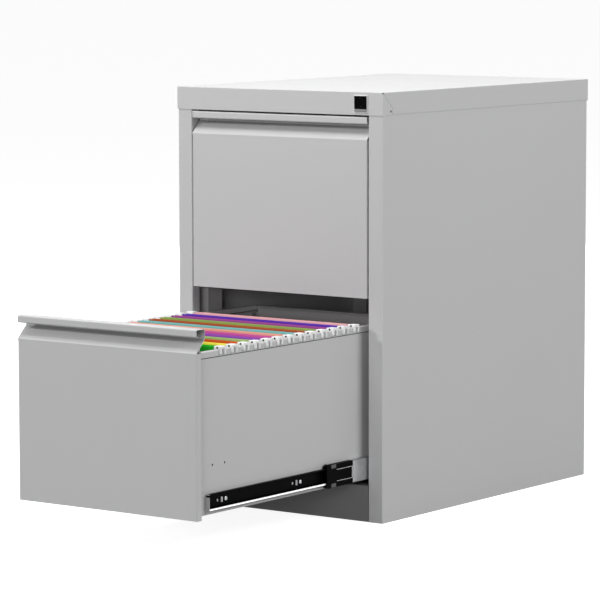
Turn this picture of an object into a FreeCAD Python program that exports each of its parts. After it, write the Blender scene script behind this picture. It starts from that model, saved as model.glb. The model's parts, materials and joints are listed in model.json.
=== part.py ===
import FreeCAD, Part
import math
import os

# A two-drawer vertical filing cabinet in folded sheet steel, in millimetres.
# The origin is the centre of the cabinet's footprint on the floor, +X is to the
# viewer's right, -Y is the front and +Z is up.

# Carcass
cabinet_width = 430.0
cabinet_depth = 650.0
cabinet_height = 720.0
sheet = 1.0
bend_radius = 1.0
stile_width = 30.0
stile_return = 20.0
rear_flange = 15.0
plinth_height = 62.0
pan_flange = 30.0

# Top cap
cap_height = 38.5
cap_flange = 20.0
cap_flange_lip = 6.0
side_skirt_step = 1.0
tab_depth = 28.0
tab_bevel = 27.0
seam_width = 0.6
tab_hole_radius = 2.0
tab_hole_inset = 5.0
tab_hole_rise = 6.5
corner_relief_radius = 1.4

# Uprights that carry the slides
upright_width = 40.0
front_upright_setback = 45.0
rear_upright_from_slide_end = 19.0
upright_depth = 28.3

# Drawer fronts
gap_side = 2.5
gap_over_plinth = 4.0
gap_between_drawers = 8.5
gap_under_cap = 3.0
front_return = 12.0
lip_height = 12.0
lip_depth = 22.0
lip_hem = 6.0
recess_back = 17.0
recess_height = 38.0
inner_front_lap = 8.0
inner_front_flange = 15.0

# Drawer boxes
box_rise = 4.0
box_length = 626.0
box_flange = 12.0
rail_height = 10.0
rail_step = 1.0
rail_width = 8.0
rail_lip = 8.0
punch_size = 3.2
punch_setback = 52.0
punch_pitch = 32.0
punch_rise = 77.0

# Travel of the drawers, and how far the lower one stands open
drawer_travel = 520.0
lower_drawer_open = 464.0
middle_share = 0.32

# Telescopic slides
slide_thickness = 12.7
slide_length = 550.0
slide_setback = 34.0
slide_rise = 21.0
slide_gauge = 1.2
drawer_rail_height = 26.0
drawer_rail_depth = 8.5
middle_rail_height = 38.0
middle_rail_depth = 8.8
middle_rail_offset = 2.0
cabinet_rail_height = 46.0
cabinet_rail_depth = 8.7
nose_length = 74.0
nose_insert = 15.0
nose_groove = 1.0
nose_groove_depth = 0.6
nose_groove_height = 12.0
nose_corner = 4.0
nose_knob_radius = 2.2
nose_knob_inset = 6.0
dimple_radius = 9.0
dimple_depth = 0.4
dimple_inset = 22.0
running_gap = 0.3
cage_gauge = 0.5
cage_margin = 0.6
cage_end_gap = 4.0
outer_cage_length = 200.0
pockets_per_row = 2
pocket_length = 5.0
pocket_width = 3.0
pocket_end_margin = 14.0

# Slots of the drawer members, and the tabs that hook the slides on the uprights
slot_offsets = (41.0, 242.0, 490.0)
pilot_before_slot = 11.0
slot_height = 9.0
slot_width = 3.6
pilot_height = 4.5
pilot_width = 2.6
hook_tab_width = 12.0
hook_tab_drop = 6.0
hook_tab_play = 0.4

# Lock
lock_from_side = 44.0
lock_drop = 17.3
lock_face_width = 24.0
lock_face_height = 21.5
lock_face_thickness = 2.6
bezel_thickness = 1.2
bezel_below = 4.6
barrel_width = 18.6
barrel_clearance = 0.3
barrel_length = 25.0
core_radius = 7.0
core_gap = 0.3
core_recess = 0.4
key_slot_width = 1.4
key_slot_height = 8.0
key_slot_depth = 6.0
spindle_radius = 4.0
crank_radius = 10.0
crank_thickness = 2.5
crank_width = 9.0
pin_radius = 2.0
pin_slot_margin = 0.7
lock_turn = 90.0
lock_bar_gauge = 2.0
lock_bar_width = 16.0
crank_gap = 0.6
lock_bar_gap = 2.0
lock_bar_inset = 3.0
lock_arm_height = 12.0
tongue_reach = 9.0
tongue_height = 16.0
tongue_rise = 2.0
catch_reach = 9.0
catch_height = 22.0
catch_foot = 20.0
catch_play = 3.0
catch_below_rail = 70.0
bar_foot = 30.0
guide_width = 14.0
guide_play = 0.5
guide_foot = 5.0
guide_drops = (150.0, 360.0)
bearing_reach = 9.0
bearing_gauge = 2.0
bearing_drop = 34.7
bearing_tail = 17.7
bearing_foot = 20.0

# Hanging files
file_count = 13
file_pitch = 30.5
file_first = 77.5
file_card = 0.5
file_half_opening = 6.5
file_foot = 2.0
file_depth = 236.0
file_rise = 3.5
file_side_gap = 3.5
bar_thickness = 1.2
bar_height = 9.0
hook_thickness = 3.6
hook_lap = 1.2
hook_rise = 4.5
hook_drop = 7.0
hook_inner = 2.2
hook_gap = 0.3
hook_prong_width = 3.6
bar_play = 0.5
bar_drop = 1.0

# Places worked out from the sizes above
half_width = cabinet_width / 2
half_depth = cabinet_depth / 2
body_half_width = half_width - sheet
body_front = -half_depth + sheet
body_back = half_depth - sheet
body_top = cabinet_height - sheet
cap_bottom = cabinet_height - cap_height
tab_back = -half_depth + tab_depth
tab_hole_y = tab_back - tab_hole_inset
tab_hole_z = cap_bottom + tab_hole_rise
opening_half = half_width - stile_width
inner_half = body_half_width - sheet
upright_face = inner_half - upright_depth
front_upright = -half_depth + front_upright_setback
front_half = opening_half - gap_side
gaps = gap_over_plinth + gap_between_drawers + gap_under_cap
front_height = (cap_bottom - plinth_height - gaps) / 2
lower_front_bottom = plinth_height + gap_over_plinth
upper_front_bottom = lower_front_bottom + front_height + gap_between_drawers
drawer_face = -half_depth
wall_half = upright_face - slide_thickness
rail_top_drop = recess_height
box_front = drawer_face + sheet
box_back = box_front + box_length
inner_front_face = drawer_face + lip_depth
slide_front = drawer_face + slide_setback
rear_upright = slide_front + slide_length - rear_upright_from_slide_end - upright_width
inner_cage_share = (1 + middle_share) / 2
outer_cage_share = middle_share / 2
cage_lag = drawer_travel * (inner_cage_share - middle_share)
inner_cage_start = nose_length + nose_insert + cage_end_gap + cage_lag
outer_cage_start = cage_end_gap + drawer_travel * outer_cage_share
inner_cage_length = slide_length - inner_cage_start - cage_lag - cage_end_gap

lock_x = half_width - lock_from_side
lock_z = cabinet_height - lock_drop
crank_angle = math.radians(lock_turn / 2)
bar_back = rear_upright - lock_bar_gap
bar_front = bar_back - lock_bar_gauge
crank_back = bar_front - crank_gap
crank_front = crank_back - crank_thickness
bar_left = opening_half + lock_bar_inset
bar_right = bar_left + lock_bar_width
catch_front = bar_back + catch_play


def point(x, y, z):
    return FreeCAD.Vector(x, y, z)


def block(x, y, z):
    """A box between the two values of each pair."""
    low = point(min(x), min(y), min(z))
    return Part.makeBox(abs(x[1] - x[0]), abs(y[1] - y[0]), abs(z[1] - z[0]), low)


def rod(start, radius, direction, length):
    """A cylinder from start along direction."""
    return Part.makeCylinder(radius, length, point(*start), point(*direction))


def mirrored(shape):
    """The same piece on the other side of the cabinet."""
    return shape.mirror(point(0, 0, 0), point(1, 0, 0))


def moved(shape, y):
    copy = shape.copy()
    copy.translate(point(0, y, 0))
    return copy


def joined(shapes):
    """Pieces of one sheet or moulding, fused into a single solid."""
    return shapes[0].fuse(shapes[1:]).removeSplitter()


def polygon(points, plane, level):
    """A flat face through 2D points, lying across the plane's missing axis."""
    corners = [lift(p, plane, level) for p in points]
    return Part.Face(Part.makePolygon(corners + corners[:1]))


def lift(p, plane, level):
    """A 2D point of the plane xy, xz or yz, as a point in space at that level."""
    if plane == "xy":
        return point(p[0], p[1], level)
    if plane == "xz":
        return point(p[0], level, p[1])
    return point(level, p[0], p[1])


def along(plane, length):
    """The vector across the plane."""
    return {"xy": point(0, 0, length), "xz": point(0, length, 0), "yz": point(length, 0, 0)}[plane]


def fold(path, gauge, plane, level, length, radius=bend_radius):
    """Sheet of one gauge bent along a path and drawn out over a length.

    The path is one face of the sheet. The metal lies to its left, or to its right
    where gauge is negative. Every bend has the inner radius, or less on a short run,
    and is a sharp crease where the radius is nought. A list gives each bend its own.
    """
    radii = radius if isinstance(radius, list) else [radius] * (len(path) - 2)
    runs = []
    for a, b in zip(path, path[1:]):
        size = math.dist(a, b)
        step = ((b[0] - a[0]) / size, (b[1] - a[1]) / size)
        runs.append((size, step, (-step[1] * gauge, step[0] * gauge)))
    near = [[path[0]]]
    far = [[(path[0][0] + runs[0][2][0], path[0][1] + runs[0][2][1])]]
    for corner, before, after, wanted in zip(path[1:], runs, runs[1:], radii):
        cross = before[1][0] * after[1][1] - before[1][1] * after[1][0]
        dot = before[1][0] * after[1][0] + before[1][1] * after[1][1]
        if not wanted:
            mitre = [corner[i] + (before[2][i] + after[2][i]) / (1 + dot) for i in (0, 1)]
            near.append([corner])
            far.append([tuple(mitre)])
            continue
        half_turn = math.atan2(cross, dot) / 2
        toward = cross * gauge > 0
        reach = math.tan(abs(half_turn))
        room = 0.48 * min(before[0], after[0]) / reach
        inner = min(wanted, max(room - (abs(gauge) if toward else 0), 0.05))
        base_radius = inner + (abs(gauge) if toward else 0)
        cut = base_radius * reach
        first = tuple(corner[i] - before[1][i] * cut for i in (0, 1))
        last = tuple(corner[i] + after[1][i] * cut for i in (0, 1))
        side = math.copysign(1.0, cross)
        centre = (first[0] - before[1][1] * base_radius * side,
                  first[1] + before[1][0] * base_radius * side)
        middle_step = (corner[0] - centre[0], corner[1] - centre[1])
        middle_size = math.hypot(*middle_step)
        unit = (middle_step[0] / middle_size, middle_step[1] / middle_size)
        other_radius = base_radius + (-abs(gauge) if toward else abs(gauge))
        near.append([first, (centre[0] + unit[0] * base_radius, centre[1] + unit[1] * base_radius), last])
        far_first = (first[0] + before[2][0], first[1] + before[2][1])
        far_last = (last[0] + after[2][0], last[1] + after[2][1])
        far_middle = (centre[0] + unit[0] * other_radius, centre[1] + unit[1] * other_radius)
        far.append([far_first, far_middle, far_last])
    near.append([path[-1]])
    far.append([(path[-1][0] + runs[-1][2][0], path[-1][1] + runs[-1][2][1])])
    outline = near + [group[::-1] for group in reversed(far)]
    edges = []
    for group, following in zip(outline, outline[1:] + outline[:1]):
        corners = [lift(p, plane, level) for p in group]
        if len(corners) == 3:
            edges.append(Part.Arc(*corners).toShape())
        edges.append(Part.LineSegment(corners[-1], lift(following[0], plane, level)).toShape())
    return Part.Face(Part.Wire(edges)).extrude(along(plane, length))


def side_panel():
    """The right side wall, with the front stile and the flanges folded from one sheet."""
    path = [(opening_half, body_front + stile_return), (opening_half, body_front),
            (body_half_width, body_front), (body_half_width, body_back),
            (body_half_width - rear_flange, body_back)]
    panel = fold(path, sheet, "xy", 0, body_top)
    return panel.cut(rod((inner_half - sheet, tab_hole_y, tab_hole_z), tab_hole_radius, (1, 0, 0), 3 * sheet))


def back_panel():
    half = inner_half - bend_radius
    return block((-half, half), (body_back - 2 * sheet, body_back - sheet), (0, body_top))


def base_pan():
    """The floor pan, whose tall front flange is the plinth."""
    back = body_back - 2 * sheet
    floor_path = [(body_front + stile_return, plinth_height), (body_front, plinth_height),
                  (body_front, 0), (back, 0), (back, pan_flange)]
    pan = fold(floor_path, sheet, "yz", -upright_face, 2 * upright_face)
    flange = block((upright_face - sheet, upright_face),
                   (body_front + stile_return, back - sheet - bend_radius), (sheet / 2, pan_flange))
    return joined([pan, flange, mirrored(flange)])


def top_cap():
    """The lid: a shallow pan with front corner tabs, seams and a hole for the lock."""
    shell = block((-half_width, half_width), (-half_depth, half_depth), (cap_bottom, cabinet_height))
    rims = [edge for edge in shell.Edges if edge.BoundBox.ZMin > cabinet_height - sheet / 2]
    shell = shell.makeFillet(bend_radius, rims)
    hollow = block((-body_half_width, body_half_width), (body_front, body_back), (cap_bottom, body_top))
    flange_half = opening_half - gap_side
    flange = block((-flange_half, flange_half), (body_front - sheet / 2, body_front + cap_flange),
                   (cap_bottom, cap_bottom + sheet))
    lip = block((-flange_half, flange_half), (body_front + cap_flange - sheet, body_front + cap_flange),
                (cap_bottom, cap_bottom + cap_flange_lip))
    shell = joined([shell.cut(hollow), flange, lip])
    lock_half = barrel_width / 2 + barrel_clearance
    cuts = [block((lock_x - lock_half, lock_x + lock_half), (-half_depth - sheet, body_front + sheet),
                  (lock_z - lock_half, lock_z + lock_half))]
    bevel_end = cabinet_height - tab_bevel
    for side in (-1, 1):
        outer = side * (half_width + sheet)
        inner = side * (body_half_width - sheet / 2)
        seam = [(-half_depth + seam_width, cabinet_height - sheet), (tab_back, bevel_end),
                (tab_back, cap_bottom - sheet), (tab_back + seam_width, cap_bottom - sheet),
                (tab_back + seam_width, bevel_end), (-half_depth + 2 * seam_width, cabinet_height - sheet)]
        cuts.append(polygon(seam, "yz", inner).extrude(point(outer - inner, 0, 0)))
        cuts.append(block((inner, outer), (tab_back + seam_width / 2, half_depth - sheet),
                          (cap_bottom - sheet, cap_bottom + side_skirt_step)))
        cuts.append(rod((inner, tab_hole_y, tab_hole_z), tab_hole_radius, (side, 0, 0), 3 * sheet))
        corner = (side * half_width, -half_depth, cabinet_height - 2 * corner_relief_radius)
        cuts.append(rod(corner, corner_relief_radius, (0, 0, 1), 3 * corner_relief_radius))
    return shell.cut(cuts)


def upright(front):
    """A right-hand channel that stiffens the side, slotted for the slides' hook tabs."""
    back = front + upright_width
    path = [(inner_half, back), (upright_face, back), (upright_face, front), (inner_half, front)]
    channel = fold(path, sheet, "xy", 0, body_top, radius=0)
    middle = front + upright_width / 2
    half = hook_tab_width / 2 + hook_tab_play
    slots = []
    for bottom in (lower_front_bottom, upper_front_bottom):
        z = slide_centre(bottom)
        slots.append(block((upright_face - sheet, upright_face + 2 * sheet), (middle - half, middle + half),
                           (z - hook_tab_drop - hook_tab_play, z + slide_gauge + hook_tab_play)))
    return channel.cut(slots)


def slide_centre(front_bottom):
    return front_bottom + box_rise + slide_rise


def slide_channel(depth, height, opens_inward, offset, y, length, z, radius=bend_radius):
    """A C-shaped right-hand slide member. Offset is its web's distance from the drawer wall."""
    gauge = slide_gauge
    web = wall_half + offset
    tip = web - depth if opens_inward else web + depth
    path = [(tip, z - height / 2), (web, z - height / 2), (web, z + height / 2), (tip, z + height / 2)]
    return fold(path, gauge if opens_inward else -gauge, "xz", y, length)


def cabinet_rail(z):
    """The member whose tabs hook into the uprights."""
    pieces = [slide_channel(cabinet_rail_depth, cabinet_rail_height, True, slide_thickness,
                            slide_front, slide_length, z, radius=0)]
    for front in (front_upright, rear_upright):
        middle = front + upright_width / 2
        span = (middle - hook_tab_width / 2, middle + hook_tab_width / 2)
        behind = upright_face + sheet + hook_tab_play
        pieces.append(block((upright_face - slide_gauge / 2, behind + slide_gauge), span,
                            (z, z + slide_gauge)))
        pieces.append(block((behind, behind + slide_gauge), span, (z - hook_tab_drop, z + slide_gauge)))
    return joined(pieces)


def drawer_rail(z):
    """The member fixed to the drawer wall, with its pilot holes, slots and front stop tab."""
    rail = slide_channel(drawer_rail_depth, drawer_rail_height, False, 0, slide_front, slide_length, z)
    web = (wall_half - slide_gauge, wall_half + 3 * slide_gauge)
    cuts = []
    for offset in slot_offsets:
        y = slide_front + offset
        cuts.append(block(web, (y - slot_width / 2, y + slot_width / 2),
                          (z - slot_height / 2, z + slot_height / 2)))
        y -= pilot_before_slot
        cuts.append(block(web, (y - pilot_width / 2, y + pilot_width / 2),
                          (z - pilot_height / 2, z + pilot_height / 2)))
    tab = block((wall_half + slide_gauge / 2, wall_half + drawer_rail_depth),
                (slide_front, slide_front + slide_gauge),
                (z - drawer_rail_height / 2 + slide_gauge / 2, z + drawer_rail_height / 2 - 4 * slide_gauge))
    return joined([rail, tab]).cut(cuts)


def middle_rail(z):
    """The member between the other two, set back by its plastic nose."""
    rail = slide_channel(middle_rail_depth, middle_rail_height, True, middle_rail_offset + middle_rail_depth,
                         slide_front + nose_length, slide_length - nose_length, z)
    face = wall_half + middle_rail_offset + middle_rail_depth
    dimple = rod((face - dimple_depth, slide_front + nose_length + dimple_inset, z),
                 dimple_radius, (1, 0, 0), 2 * dimple_depth)
    return rail.cut(dimple)


def slide_nose(z):
    """The plastic guide plugged into the front end of the middle member."""
    low = wall_half + middle_rail_offset
    face = low + middle_rail_depth
    end = slide_front + nose_length
    half = middle_rail_height / 2
    clear = drawer_rail_height / 2 + running_gap
    web = wall_half + drawer_rail_depth + running_gap
    body = block((low, face), (slide_front, end), (z - half, z + half))
    corners = [e for e in body.Edges if e.BoundBox.YMax < slide_front + sheet and e.BoundBox.XLength > 1]
    body = body.makeFillet(nose_corner, corners)
    plug = block((low + slide_gauge, face - slide_gauge - bend_radius), (end - sheet, end + nose_insert),
                 (z - half + slide_gauge, z + half - slide_gauge))
    knobs = [rod((low, slide_front + nose_knob_inset, z + sign * (half - nose_knob_radius / 2)),
                 nose_knob_radius, (1, 0, 0), middle_rail_depth) for sign in (-1, 1)]
    nose = joined([body, plug] + knobs)
    cuts = [block((low - 1, web), (slide_front - nose_length, end + 2 * nose_insert), (z - clear, z + clear))]
    for sign in (-1, 1):
        level = z + sign * nose_groove_height
        cuts.append(block((face - nose_groove_depth, face + 1), (slide_front + nose_knob_inset * 4, end + 1),
                          (level - nose_groove / 2, level + nose_groove / 2)))
    return nose.cut(cuts)


def ball_cage(start, length, inner_face, outer_face, low, high, z):
    """A bent strip with pockets for a row of balls above and below the member inside it.

    The rows run half way between the two faces, measured from the slide's centre
    line, and low and high are the strip's limits, measured from the drawer wall.
    """
    level = (inner_face + outer_face) / 2
    half = level + cage_gauge / 2
    path = [(wall_half + low, z - half), (wall_half + high, z - half),
            (wall_half + high, z + half), (wall_half + low, z + half)]
    cage = fold(path, cage_gauge, "xz", slide_front + start, length, radius=0)
    pitch = (length - 2 * pocket_end_margin) / (pockets_per_row - 1)
    middle = wall_half + (low + high) / 2
    pockets = []
    for number in range(pockets_per_row):
        y = slide_front + start + pocket_end_margin + number * pitch
        for side in (-1, 1):
            pockets.append(block((middle - pocket_width / 2, middle + pocket_width / 2),
                                 (y - pocket_length / 2, y + pocket_length / 2),
                                 (z + side * (half - 2 * cage_gauge), z + side * (half + cage_gauge))))
    return cage.cut(pockets)


def inner_cages(z):
    """The pair of ball cages between the drawer members and the middle members."""
    high = middle_rail_offset + middle_rail_depth - slide_gauge - running_gap
    low = middle_rail_offset + cage_margin
    cage = ball_cage(inner_cage_start, inner_cage_length, drawer_rail_height / 2,
                     middle_rail_height / 2 - slide_gauge, low, high, z)
    return Part.makeCompound([cage, mirrored(cage)])


def outer_cages(z):
    """The pair of ball cages between the middle members and the cabinet members."""
    middle_face = middle_rail_offset + middle_rail_depth
    cabinet_face = slide_thickness - slide_gauge
    high = (middle_face + cabinet_face + cage_gauge) / 2
    low = slide_thickness - cabinet_rail_depth + cage_margin
    cage = ball_cage(outer_cage_start, outer_cage_length, middle_rail_height / 2,
                     cabinet_rail_height / 2 - slide_gauge, low, high, z)
    return Part.makeCompound([cage, mirrored(cage)])


def drawer_front(bottom):
    """The outer front: a shallow pan under a folded pull lip and its sloping recess."""
    top = bottom + front_height
    flat_top = top - recess_height
    back = drawer_face + front_return
    face_path = [(-front_half, back), (-front_half, drawer_face),
                 (front_half, drawer_face), (front_half, back)]
    face = fold(face_path, sheet, "xy", bottom, flat_top - bottom)
    inside = drawer_face + sheet
    lip_path = [(drawer_face + lip_hem, top - lip_height), (drawer_face, top - lip_height),
                (drawer_face, top), (drawer_face + lip_depth, top),
                (drawer_face + lip_depth, top - recess_back), (inside, flat_top),
                (inside, flat_top - 3 * sheet)]
    lip = fold(lip_path, -sheet, "yz", -front_half, 2 * front_half)
    bottom_return = block((-front_half + sheet / 2, front_half - sheet / 2), (drawer_face + sheet / 2, back),
                          (bottom, bottom + sheet))
    return joined([face, lip, bottom_return])


def inner_front(bottom):
    """The box's own front wall, which closes the outer front from behind."""
    half = wall_half - sheet
    back = inner_front_face + inner_front_flange
    path = [(-half, back), (-half, inner_front_face), (half, inner_front_face), (half, back)]
    low = bottom + box_rise + sheet + bend_radius
    high = bottom + front_height - recess_back + inner_front_lap
    panel = fold(path, sheet, "xy", low, high - low, radius=0)
    rail_low = bottom + front_height - rail_top_drop - rail_height
    notch = block((half - rail_width - sheet, half + sheet), (inner_front_face + 2 * sheet, back + sheet),
                  (rail_low - sheet, high + sheet))
    return panel.cut([notch, mirrored(notch)])


def drawer_tray(bottom):
    """The bottom and both walls, folded from one sheet, with a hanging rail on each wall."""
    low = bottom + box_rise
    rail_top = bottom + front_height - rail_top_drop
    rail_low = rail_top - rail_height
    outer = wall_half + rail_step
    inner = outer - rail_width
    right = [(wall_half, low), (wall_half, rail_low - rail_step), (outer, rail_low),
             (outer, rail_top), (inner, rail_top), (inner, rail_top - rail_lip)]
    left = [(-x, z) for x, z in reversed(right)]
    rail_bends = [bend_radius, bend_radius, 0, 0]
    tray = fold(left + right, sheet, "xz", box_front, box_length,
                rail_bends + [bend_radius, bend_radius] + rail_bends[::-1])
    cuts = [block((-outer - sheet, outer + sheet), (box_front - sheet, inner_front_face + 2 * sheet),
                  (rail_low - rail_step, rail_top + sheet))]
    for side in (-1, 1):
        for number in (0, 1):
            y = drawer_face + punch_setback + number * punch_pitch
            through = (side * (wall_half - 2 * sheet), side * (wall_half + sheet))
            z = low + punch_rise
            cuts.append(block(through, (y, y + punch_size), (z, z + punch_size)))
    return tray.cut(cuts)


def drawer_back(bottom):
    """The rear wall, whose upper part rises between the rails and is hemmed forward."""
    half = wall_half - sheet
    flange = box_back - box_flange
    path = [(half, flange), (half, box_back), (-half, box_back), (-half, flange)]
    low = bottom + box_rise + sheet + bend_radius
    rail_top = bottom + front_height - rail_top_drop
    high = rail_top - rail_height - 2 * rail_step
    wall = fold(path, sheet, "xy", low, high - low, radius=0)
    upper_half = wall_half + rail_step - rail_width - rail_step
    hem = [(box_back, high - sheet), (box_back, rail_top), (box_back - box_flange, rail_top)]
    upper = fold(hem, sheet, "yz", -upper_half, 2 * upper_half, radius=0)
    return joined([wall, upper])


def drawer_catch(bottom):
    """The bracket on the right wall that the lock bar's tongue holds."""
    z = catch_level(bottom)
    path = [(wall_half + catch_reach, catch_front), (wall_half, catch_front),
            (wall_half, catch_front + catch_foot)]
    return fold(path, -lock_bar_gauge, "xy", z - catch_height / 2, catch_height, radius=0)


def catch_level(bottom):
    return bottom + front_height - rail_top_drop - catch_below_rail


def lock_bezel():
    height = lock_face_height + bezel_below
    face = -half_depth - bezel_thickness
    low = lock_z - lock_face_height / 2 - bezel_below
    plate = block((lock_x - lock_face_width / 2, lock_x + lock_face_width / 2), (face, -half_depth),
                  (low, low + height))
    half = barrel_width / 2 + barrel_clearance
    return plate.cut(block((lock_x - half, lock_x + half), (face - sheet, sheet - half_depth),
                           (lock_z - half, lock_z + half)))


def lock_body():
    """The square face and the fixed barrel that holds the turning core."""
    face = -half_depth - bezel_thickness - lock_face_thickness
    half = lock_face_width / 2
    plate = block((lock_x - half, lock_x + half), (face, face + lock_face_thickness),
                  (lock_z - lock_face_height / 2, lock_z + lock_face_height / 2))
    rim = [e for e in plate.Edges if e.BoundBox.YMax < face + lock_face_thickness / 2]
    plate = plate.makeChamfer(lock_face_thickness / 4, rim)
    barrel_half = barrel_width / 2
    barrel = block((lock_x - barrel_half, lock_x + barrel_half),
                   (face + lock_face_thickness / 2, face + barrel_length),
                   (lock_z - barrel_half, lock_z + barrel_half))
    bore = rod((lock_x, face - sheet, lock_z), core_radius + core_gap, (0, 1, 0), barrel_length + 2 * sheet)
    return joined([plate, barrel]).cut(bore)


def lock_core():
    """The keyed core, its long spindle, and the rear crank whose pin moves the bar."""
    face = -half_depth - bezel_thickness - lock_face_thickness + core_recess
    core = rod((lock_x, face, lock_z), core_radius, (0, 1, 0), barrel_length)
    key_slot = block((lock_x - key_slot_width / 2, lock_x + key_slot_width / 2),
                     (face - key_slot_depth, face + key_slot_depth),
                     (lock_z - key_slot_height / 2, lock_z + key_slot_height / 2))
    core_back = face + barrel_length - sheet
    spindle = rod((lock_x, core_back, lock_z), spindle_radius, (0, 1, 0), crank_back - core_back)
    arm = block((lock_x - crank_width / 2, lock_x + crank_radius + crank_width / 2),
                (crank_front, crank_back), (lock_z - crank_width / 2, lock_z + crank_width / 2))
    pin = rod((lock_x + crank_radius, crank_front, lock_z), pin_radius, (0, 1, 0),
              bar_back + crank_gap - crank_front)
    lever = joined([arm, pin, spindle])
    lever.rotate(point(lock_x, 0, lock_z), point(0, 1, 0), -lock_turn / 2)
    return joined([core.cut(key_slot), lever])


def lock_bar():
    """The upright bar with a slotted arm for the crank pin and a tongue for each drawer."""
    pin_z = lock_z + crank_radius * math.sin(crank_angle)
    slot_half = pin_radius + pin_slot_margin
    slot_left = lock_x + crank_radius * math.cos(crank_angle) - slot_half - pin_slot_margin
    slot_right = lock_x + crank_radius + slot_half + pin_slot_margin
    arm_left = slot_left - 2 * pin_slot_margin - lock_bar_gauge
    thick = (bar_front, bar_back)
    foot = catch_level(lower_front_bottom) - bar_foot
    pieces = [block((bar_left, bar_right), thick, (foot, pin_z + lock_arm_height / 2)),
              block((arm_left, bar_left + lock_bar_gauge), thick,
                    (pin_z - lock_arm_height / 2, pin_z + lock_arm_height / 2))]
    for bottom in (lower_front_bottom, upper_front_bottom):
        tongue_low = catch_level(bottom) + catch_height / 2 + tongue_rise
        pieces.append(block((wall_half + catch_reach - tongue_reach / 2, bar_left + lock_bar_gauge), thick,
                            (tongue_low, tongue_low + tongue_height)))
    slot = [block((slot_left + slot_half, slot_right - slot_half), (bar_front - sheet, bar_back + sheet),
                  (pin_z - slot_half, pin_z + slot_half))]
    for x in (slot_left + slot_half, slot_right - slot_half):
        slot.append(rod((x, bar_front - sheet, pin_z), slot_half, (0, 1, 0), lock_bar_gauge + 2 * sheet))
    return joined(pieces).cut(slot)


def lock_bar_guides():
    """Straps on the rear upright that keep the bar in line, and the spindle's bearing."""
    bearing_back = crank_front - crank_gap
    bearing_front = bearing_back - bearing_gauge
    low = lock_z - bearing_drop
    plate = block((lock_x - bearing_reach, upright_face), (bearing_front, bearing_back),
                  (low, lock_z + bearing_reach))
    tail = block((upright_face - sheet, upright_face), (bearing_front, rear_upright + bearing_foot),
                 (low, low + bearing_tail))
    hole = rod((lock_x, bearing_front - sheet, lock_z), spindle_radius + core_gap, (0, 1, 0),
               bearing_gauge + 2 * sheet)
    guides = [joined([plate, tail]).cut(hole)]
    for drop in guide_drops:
        left = bar_left - guide_play - sheet
        right = bar_right + guide_play + sheet
        front = bar_front - guide_play - sheet
        path = [(left, rear_upright), (left, front), (right, front), (right, rear_upright - sheet),
                (right + guide_foot, rear_upright - sheet)]
        guides.append(fold(path, sheet, "xy", cap_bottom - drop, guide_width, radius=0))
    return Part.makeCompound(guides)


def file_centre(number):
    return drawer_face + file_first + number * file_pitch


def file_card_sheet(number, bottom):
    """A card pocket: two leaves that hang from bars and meet in a narrow foot."""
    top = file_top(bottom)
    y = file_centre(number)
    path = [(y - file_half_opening, top), (y - file_foot, top - file_depth),
            (y + file_foot, top - file_depth), (y + file_half_opening, top)]
    half = wall_half + rail_step - rail_width - file_side_gap
    return fold(path, file_card, "yz", -half, 2 * half, radius=0)


def file_top(bottom):
    return bottom + front_height - rail_top_drop + file_rise


def bar_faces(number, side):
    """The outer and inner face of one bar, in front of or behind its file's centre."""
    outer = file_centre(number) + side * (file_half_opening - file_card - bar_play)
    return outer, outer - side * bar_thickness


def file_bars(bottom):
    """The steel bars inside the top edges of the cards, as one group."""
    top = file_top(bottom) - bar_drop
    reach = wall_half + rail_step - rail_width - hook_inner
    bars = []
    for number in range(file_count):
        for side in (-1, 1):
            bars.append(block((-reach, reach), bar_faces(number, side), (top - bar_height, top)))
    return Part.makeCompound(bars)


def file_hooks(bottom):
    """The moulded ends that straddle the drawer's rails, as one group."""
    rail_top = bottom + front_height - rail_top_drop
    rail_edge = wall_half + rail_step - rail_width
    inner = rail_edge - hook_inner
    notch = rail_edge - hook_gap
    prong = rail_edge + rail_width + hook_gap
    outer = prong + hook_prong_width
    low = rail_top - hook_drop
    high = rail_top + hook_rise
    outline = [(inner, low), (notch, low), (notch, rail_top), (prong, rail_top),
               (prong, low), (outer, low), (outer, high), (inner, high)]
    hooks = []
    for number in range(file_count):
        for side in (-1, 1):
            inner_face = bar_faces(number, side)[1] - side * hook_lap
            hook = polygon(outline, "xz", inner_face).extrude(along("xz", side * hook_thickness))
            hooks += [hook, mirrored(hook)]
    return Part.makeCompound(hooks)


def drawer(name, bottom, shift):
    """Every piece of one drawer and of its slides, drawn out by shift."""
    z = slide_centre(bottom)
    right_rail = drawer_rail(z)
    right_middle = middle_rail(z)
    right_nose = slide_nose(z)
    pieces = {
        name + "_drawer_front": moved(drawer_front(bottom), -shift),
        name + "_drawer_inner_front": moved(inner_front(bottom), -shift),
        name + "_drawer_tray": moved(drawer_tray(bottom), -shift),
        name + "_drawer_back": moved(drawer_back(bottom), -shift),
        name + "_drawer_catch": moved(drawer_catch(bottom), -shift),
        name + "_right_drawer_rail": moved(right_rail, -shift),
        name + "_left_drawer_rail": moved(mirrored(right_rail), -shift),
        name + "_right_middle_rail": moved(right_middle, -shift * middle_share),
        name + "_left_middle_rail": moved(mirrored(right_middle), -shift * middle_share),
        name + "_slide_noses": moved(Part.makeCompound([right_nose, mirrored(right_nose)]),
                                     -shift * middle_share),
        name + "_inner_ball_cages": moved(inner_cages(z), -shift * inner_cage_share),
        name + "_outer_ball_cages": moved(outer_cages(z), -shift * outer_cage_share),
    }
    return pieces


def hanging_files(bottom, shift):
    """The hanging files of one drawer, front to back."""
    pieces = {"file_bars": moved(file_bars(bottom), -shift),
              "file_hooks": moved(file_hooks(bottom), -shift)}
    for number in range(file_count):
        name = "hanging_file_{:02d}".format(number + 1)
        pieces[name] = moved(file_card_sheet(number, bottom), -shift)
    return pieces


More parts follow.
